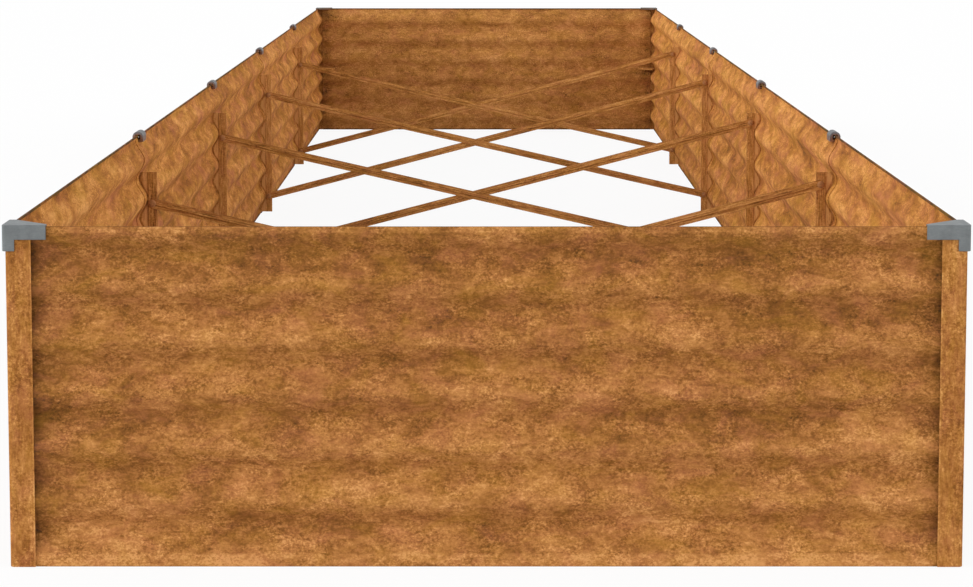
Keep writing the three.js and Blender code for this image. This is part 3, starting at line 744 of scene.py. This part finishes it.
class Shader:
    """A small helper to write the node tree of a material or a world line by line."""

    def __init__(self, owner):
        owner.use_nodes = True
        self.owner = owner
        self.tree = owner.node_tree
        self.tree.nodes.clear()
        self.output = self.node("OutputWorld" if owner.id_type == "WORLD" else "OutputMaterial")

    def node(self, kind, **settings):
        made = self.tree.nodes.new(f"ShaderNode{kind}")
        for key, value in settings.items():
            setattr(made, key, value)
        return made

    def link(self, source, target):
        self.tree.links.new(source, target)

    def put(self, socket, value):
        if isinstance(value, bpy.types.NodeSocket):
            self.link(value, socket)
        else:
            socket.default_value = value

    def places(self, stretch, rotation=(0, 0, 0), start=(0, 0, 0)):
        """Object coordinates, turned, moved to the pattern's start and then stretched, so that
        marks run long one way."""
        coordinates = self.node("TexCoord")
        turn = self.node("Mapping")
        turn.inputs["Rotation"].default_value = rotation
        turn.inputs["Location"].default_value = start
        scale = self.node("Mapping")
        scale.inputs["Scale"].default_value = stretch
        self.link(coordinates.outputs["Object"], turn.inputs["Vector"])
        self.link(turn.outputs["Vector"], scale.inputs["Vector"])
        return scale.outputs["Vector"]

    def outside(self):
        """1 where a side wall looks away from the bed's middle, 0 where it looks in."""
        coordinates = self.node("TexCoord")
        place, normal = self.node("SeparateXYZ"), self.node("SeparateXYZ")
        self.link(coordinates.outputs["Object"], place.inputs[0])
        self.link(coordinates.outputs["Normal"], normal.inputs[0])
        return self.math(
            "GREATER_THAN", self.math("MULTIPLY", place.outputs["X"], normal.outputs["X"])
        )

    def noise(self, vector, scale, detail, roughness, distortion=0.0):
        made = self.node("TexNoise")
        self.link(vector, made.inputs["Vector"])
        made.inputs["Scale"].default_value = scale
        made.inputs["Detail"].default_value = detail
        made.inputs["Roughness"].default_value = roughness
        made.inputs["Distortion"].default_value = distortion
        return made.outputs["Fac"]

    def math(self, operation, first, second=0.0, third=0.0):
        made = self.node("Math", operation=operation)
        for socket, value in zip(made.inputs, (first, second, third)):
            self.put(socket, value)
        return made.outputs[0]

    def spread(self, value, low, high, to_low=0.0, to_high=1.0):
        made = self.node("MapRange")
        self.put(made.inputs["Value"], value)
        for name, number in (
            ("From Min", low),
            ("From Max", high),
            ("To Min", to_low),
            ("To Max", to_high),
        ):
            made.inputs[name].default_value = number
        return made.outputs["Result"]

    def ramp(self, value, stops):
        made = self.node("ValToRGB")
        elements = made.color_ramp.elements
        while len(elements) < len(stops):
            elements.new(0.5)
        for element, (place, colour) in zip(elements, stops):
            element.position = place
            element.color = linear(*colour)
        self.link(value, made.inputs["Fac"])
        return made.outputs["Color"]

    def blend(self, share, first, second):
        made = self.node("Mix", data_type="RGBA")
        self.put(made.inputs[0], share)
        self.put(made.inputs[6], first)
        self.put(made.inputs[7], second)
        return made.outputs[2]

    def tone(self):
        return self.node("Attribute", attribute_name="tone").outputs["Fac"]

    def principled(self, colour, roughness, height, distance, strength, **fixed):
        """The material, with a bump of the height. fixed gives other inputs by name."""
        shader = self.node("BsdfPrincipled")
        self.put(shader.inputs["Base Color"], colour)
        self.put(shader.inputs["Roughness"], roughness)
        for name, value in fixed.items():
            shader.inputs[name.replace("_", " ")].default_value = value
        bump = self.node("Bump")
        bump.inputs["Distance"].default_value = distance
        bump.inputs["Strength"].default_value = strength
        self.link(height, bump.inputs["Height"])
        self.link(bump.outputs["Normal"], shader.inputs["Normal"])
        self.link(shader.outputs["BSDF"], self.output.inputs["Surface"])
        return self.owner


def weighted(shader, parts):
    """0.5 plus each (noise, weight) taken about its middle."""
    total = 0.5
    for value, weight in parts:
        centred = shader.math("SUBTRACT", value, 0.5)
        total = shader.math("MULTIPLY_ADD", centred, weight, total)
    return total


TONE_STEP = 0.24  # what a tone of 1 adds to the rust's value
RED_RUST, YELLOW_RUST = linear(190, 114, 84), linear(176, 130, 36)
# How much clouds, patches, mottle, streaks and grain count
SHEET_WEIGHTS = (0.5, 0.8, 0.7, 0.35, 0.8)
SIDE_WEIGHTS = (0.5, 1.2, 0.9, 0.2, 0.9)
BACK_WEIGHTS = (0.5, 1.0, 0.8, 0.3, 1.0)
FRAME_WEIGHTS = (0.4, 0.4, 0.3, 1.4, 0.6)


def rust(
    name,
    stretch,
    streak_stretch,
    stops,
    rotation=(0, 0, 0),
    weights=SHEET_WEIGHTS,
    curl=1.2,
    tint=0.45,
    outside_stretch=None,
    start=(0, 0, 0),
):
    """Mottled rust: clouds and patches drawn out along the sheet, fine speckle and streaks.
    curl bends the small marks, and tint is how far the hue wanders to red and to yellow.
    outside_stretch takes the place of stretch on the faces that look away from the bed."""
    s = Shader(bpy.data.materials.new(name))
    cloud_w, patch_w, mottle_w, streak_w, grain_w = weights
    places = s.places(stretch, rotation, start)
    if outside_stretch:
        choose = s.node("Mix", data_type="VECTOR")
        s.link(s.outside(), choose.inputs[0])
        s.link(places, choose.inputs[4])
        s.link(s.places(outside_stretch, rotation, start), choose.inputs[5])
        places = choose.outputs[1]
    drawn = s.places(streak_stretch, rotation, start)
    cloud = s.noise(places, scale=5, detail=2, roughness=0.5, distortion=0.3)
    patch = s.noise(places, scale=19, detail=4, roughness=0.68, distortion=0.8)
    mottle = s.noise(places, scale=70, detail=3, roughness=0.65, distortion=curl)
    streak = s.noise(drawn, scale=60, detail=3, roughness=0.65)
    fine = s.places((1, 1, 1.25))
    grain = s.noise(fine, scale=330, detail=1, roughness=0.8, distortion=0.4)
    dust = s.noise(places, scale=28, detail=2, roughness=0.6)
    dusty = s.spread(dust, 0.35, 0.65, 0.45, 1.35)
    value = weighted(
        s,
        [
            (cloud, cloud_w),
            (patch, patch_w),
            (mottle, mottle_w),
            (streak, streak_w),
            (grain, s.math("MULTIPLY", dusty, grain_w)),
        ],
    )
    # The tones that the meshes carry shift the value here; most of them are painted shade and
    # painted light
    value = s.math("MULTIPLY_ADD", s.tone(), TONE_STEP, value)
    colour = s.ramp(value, stops)
    hue = s.noise(places, scale=22, detail=4, roughness=0.65, distortion=0.5)
    red = s.spread(hue, 0.51, 0.7, 0.0, tint)
    yellow = s.spread(hue, 0.49, 0.3, 0.0, tint)
    colour = s.blend(red, colour, s.blend(0.5, colour, RED_RUST))
    colour = s.blend(yellow, colour, s.blend(0.45, colour, YELLOW_RUST))
    roughness = s.spread(grain, 0.25, 0.75, 0.8, 0.98)
    height = s.math("MULTIPLY_ADD", grain, 0.6, mottle)
    return s.principled(
        colour, roughness, height, distance=0.0003, strength=0.6, Specular_IOR_Level=0.1
    )


SHEET_STOPS = [
    (0.0, (78, 56, 31)),
    (0.14, (101, 63, 27)),
    (0.34, (130, 83, 38)),
    (0.5, (154, 101, 51)),
    (0.66, (179, 122, 67)),
    (0.86, (207, 151, 91)),
]
# Paler and more orange than the end sheets' rust: partly the side walls' own colour, partly painted
# light
SIDE_STOPS = [
    (0.0, (80, 58, 32)),
    (0.14, (124, 75, 30)),
    (0.34, (156, 98, 43)),
    (0.5, (181, 119, 57)),
    (0.66, (203, 140, 71)),
    (0.86, (228, 167, 96)),
]
# The back end's rust, a paler copy of the front end's: painted light
BACK_STOPS = [
    (0.0, (76, 50, 24)),
    (0.14, (124, 79, 36)),
    (0.34, (150, 99, 48)),
    (0.5, (171, 116, 60)),
    (0.66, (190, 134, 74)),
    (0.86, (212, 156, 94)),
]
POST_STOPS = [
    (0.14, (112, 67, 27)),
    (0.34, (137, 85, 38)),
    (0.5, (157, 102, 49)),
    (0.66, (179, 122, 64)),
    (0.86, (206, 150, 88)),
]
FRAME_STOPS = [
    (0.14, (104, 66, 30)),
    (0.34, (148, 96, 47)),
    (0.5, (174, 118, 62)),
    (0.66, (194, 138, 78)),
    (0.86, (216, 162, 100)),
]
sheet_rust = rust(
    "end sheet rust", (1.0, 1.0, 1.7), (1.0, 1.0, 5.0), SHEET_STOPS, start=(1.2, -5.9, -2.2)
)
back_rust = rust(
    "back sheet rust",
    (1.0, 1.0, 1.7),
    (1.0, 1.0, 5.0),
    BACK_STOPS,
    weights=BACK_WEIGHTS,
    start=(-6.3, 4.0, 4.8),
)
side_rust = rust(
    "side sheet rust",
    (1.0, 0.35, 1.1),
    (1.0, 0.5, 5.0),
    SIDE_STOPS,
    weights=SIDE_WEIGHTS,
    curl=0.4,
    tint=0.9,
    outside_stretch=(1.0, 0.9, 1.7),
    start=(-5.6, 5.5, -3.3),
)
post_rust = rust("post rust", (2.6, 2.6, 1.0), (8.0, 8.0, 1.0), POST_STOPS)
upright_rust = rust(
    "upright rust", (3.0, 3.0, 1.0), (10.0, 10.0, 0.6), FRAME_STOPS, weights=FRAME_WEIGHTS
)
brace_rust = {
    kind: rust(
        f"{kind} brace rust",
        (1.0, 3.0, 3.0),
        (0.6, 10.0, 10.0),
        FRAME_STOPS,
        rotation=(0, math.atan2(right_z - left_z, 2 * BOLT_LINE), 0),
        weights=FRAME_WEIGHTS,
    )
    for kind, (left_z, right_z) in BRACE_HEIGHTS.items()
}


def grey_plastic(name, middle, stains):
    """Moulded plastic: faint clouds, fine grain and scuffs about a middle colour, a paler top as
    painted light where the tone is positive, and where it is negative the colours given as
    stains: painted shade on the caps, rust stains on the clips."""
    s = Shader(bpy.data.materials.new(name))
    places = s.places((1, 1, 1))
    cloud = s.noise(places, scale=60, detail=3, roughness=0.6)
    grain = s.noise(places, scale=1400, detail=2, roughness=0.6)
    flat = s.places((1, 1, 6))
    scuff = s.noise(flat, scale=180, detail=4, roughness=0.7, distortion=0.8)
    value = weighted(s, [(cloud, 0.8), (grain, 0.25), (scuff, 0.5)])
    # painted light: faces with a positive tone, the caps' tops, are paler
    value = s.math("ADD", value, s.spread(s.tone(), 0.0, 1.0, 0.0, 0.15))
    shades = [(0.2, 0.84), (0.5, 1.0), (0.8, 1.16)]
    colour = s.ramp(value, [(place, [c * shade for c in middle]) for place, shade in shades])
    stain = s.ramp(value, stains)
    # faces with a negative tone take the colours given as stains: painted shade on the caps' inner
    # faces, rust stains on the clips
    colour = s.blend(s.spread(s.tone(), 0.0, -1.0, 0.0, 0.95), colour, stain)
    roughness = s.spread(scuff, 0.3, 0.7, 0.42, 0.62)
    return s.principled(
        colour, roughness, grain, distance=0.0001, strength=0.5, Specular_IOR_Level=0.4
    )


def bolt_metal():
    """Rusted fasteners, a little more metallic than the sheets."""
    s = Shader(bpy.data.materials.new("bolt metal"))
    places = s.places((1, 1, 1))
    bloom = s.noise(places, scale=260, detail=4, roughness=0.7)
    grain = s.noise(places, scale=1500, detail=2, roughness=0.6)
    value = weighted(s, [(bloom, 1.3), (grain, 0.4)])
    colour = s.ramp(
        value,
        [(0.25, (124, 80, 42)), (0.5, (156, 103, 57)), (0.75, (184, 130, 79))],
    )
    roughness = s.spread(bloom, 0.3, 0.7, 0.6, 0.85)
    return s.principled(colour, roughness, bloom, distance=0.0001, strength=0.6, Metallic=0.2)


# The caps' colours here are painted shade for their inner faces; the clips' are rust stains
CAP_SHADE = [(0.3, (58, 42, 28)), (0.5, (84, 60, 38)), (0.7, (112, 76, 46))]
CLIP_STAINS = [(0.3, (62, 36, 20)), (0.5, (104, 60, 32)), (0.7, (146, 90, 54))]
cap_plastic = grey_plastic("cap plastic", (102, 106, 107), CAP_SHADE)
clip_plastic = grey_plastic("clip plastic", (98, 98, 100), CLIP_STAINS)
metal = bolt_metal()


def material_for(name):
    """The material of a piece, by its name."""
    if "_moulding" in name:
        return cap_plastic if name.startswith("corner_cap") else clip_plastic
    if "bolt" in name:
        return metal
    if name.startswith("upright"):
        return upright_rust
    if name.startswith("brace"):
        return brace_rust["rear" if "rear" in name else "front"]
    if name.startswith("corner_post"):
        return post_rust
    if name.startswith("front_panel"):
        return sheet_rust
    return back_rust if name.startswith("back_panel") else side_rust


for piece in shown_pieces():
    piece.data.materials.clear()
    piece.data.materials.append(material_for(piece.name))

# ------------------------------------------------------------------ floor, light and camera


def seen_directly(shader):
    """1 for what the camera sees, straight or in a gloss or through something clear."""
    path = shader.node("LightPath")
    direct = shader.math(
        "MAXIMUM", path.outputs["Is Camera Ray"], path.outputs["Is Glossy Ray"]
    )
    return shader.math("MAXIMUM", direct, path.outputs["Is Transmission Ray"])


FLOOR_REACH = 60e3
FLOOR_DROP = 0.5  # below the ground, so that it never shows through a foot


def floor():
    """White where the camera sees it, apart from the bed's shadow, and pale in the light that
    it throws back."""
    reach = FLOOR_REACH
    corners = [(-reach, -reach, 0), (reach, -reach, 0), (reach, reach, 0), (-reach, reach, 0)]
    mesh = mesh_from("floor", corners, [[0, 1, 2, 3]])
    ground = bpy.data.objects.new("floor", mesh)
    ground.location.z = -FLOOR_DROP * MM
    bpy.context.scene.collection.objects.link(ground)
    s = Shader(bpy.data.materials.new("pale floor"))
    matte = s.node("BsdfDiffuse")
    matte.inputs["Color"].default_value = (0.8, 0.8, 0.79, 1)
    white = s.node("BsdfDiffuse")
    white.inputs["Color"].default_value = (1, 1, 1, 1)
    glow = s.node("Emission")
    glow.inputs["Color"].default_value = (1, 1, 1, 1)
    glow.inputs["Strength"].default_value = 1.0
    backdrop = s.node("MixShader")
    backdrop.inputs["Fac"].default_value = 0.9
    s.link(white.outputs[0], backdrop.inputs[1])
    s.link(glow.outputs[0], backdrop.inputs[2])
    choose = s.node("MixShader")
    s.link(seen_directly(s), choose.inputs["Fac"])
    s.link(matte.outputs[0], choose.inputs[1])
    s.link(backdrop.outputs[0], choose.inputs[2])
    s.link(choose.outputs[0], s.output.inputs["Surface"])
    mesh.materials.append(s.owner)


def world(strength):
    """Soft light from all round, which looks plain white to the camera."""
    sky = bpy.data.worlds.new("soft light")
    bpy.context.scene.world = sky
    s = Shader(sky)
    dim = s.node("Background")
    dim.inputs["Color"].default_value = (1, 1, 1, 1)
    dim.inputs["Strength"].default_value = strength
    white = s.node("Background")
    white.inputs["Color"].default_value = (1, 1, 1, 1)
    white.inputs["Strength"].default_value = 1.0
    choose = s.node("MixShader")
    s.link(seen_directly(s), choose.inputs["Fac"])
    s.link(dim.outputs[0], choose.inputs[1])
    s.link(white.outputs[0], choose.inputs[2])
    s.link(choose.outputs[0], s.output.inputs["Surface"])


def sun(name, toward, strength, softness):
    """A lamp far off. toward is the direction that its light travels in, and softness is its
    width in degrees."""
    lamp = bpy.data.lights.new(name, "SUN")
    lamp.energy = strength
    lamp.angle = math.radians(softness)
    holder = bpy.data.objects.new(name, lamp)
    holder.rotation_mode = "QUATERNION"
    holder.rotation_quaternion = Vector(toward).to_track_quat("-Z", "Y")
    bpy.context.scene.collection.objects.link(holder)


floor()
world(strength=0.56)
sun("front light", toward=(0.1, 1.0, -0.1), strength=0.8, softness=40)
sun("left light", toward=(0.9, 0.28, -0.2), strength=2.8, softness=60)
sun("right light", toward=(-0.9, 0.28, -0.2), strength=1.74, softness=60)

CAMERA_BACK = 2698.4  # in front of the front end
CAMERA_HEIGHT = 706.9
CAMERA_PITCH = 0.0962  # below the horizon, in radians
CAMERA_SHIFT = -0.154  # of the frame's width, so that the posts stand upright
FOCAL_LENGTH, SENSOR_WIDTH = 97.07, 36.0
lens = bpy.data.cameras.new("camera")
lens.lens = FOCAL_LENGTH
lens.shift_y = CAMERA_SHIFT
lens.sensor_width = SENSOR_WIDTH
lens.clip_start, lens.clip_end = 0.05, 200.0
camera = bpy.data.objects.new("camera", lens)
camera.location = (0.0, (-LENGTH / 2 - CAMERA_BACK) * MM, CAMERA_HEIGHT * MM)
camera.rotation_euler = (math.pi / 2 - CAMERA_PITCH, 0.0, 0.0)
bpy.context.scene.collection.objects.link(camera)
bpy.context.scene.camera = camera
bpy.context.scene.view_settings.view_transform = "Standard"
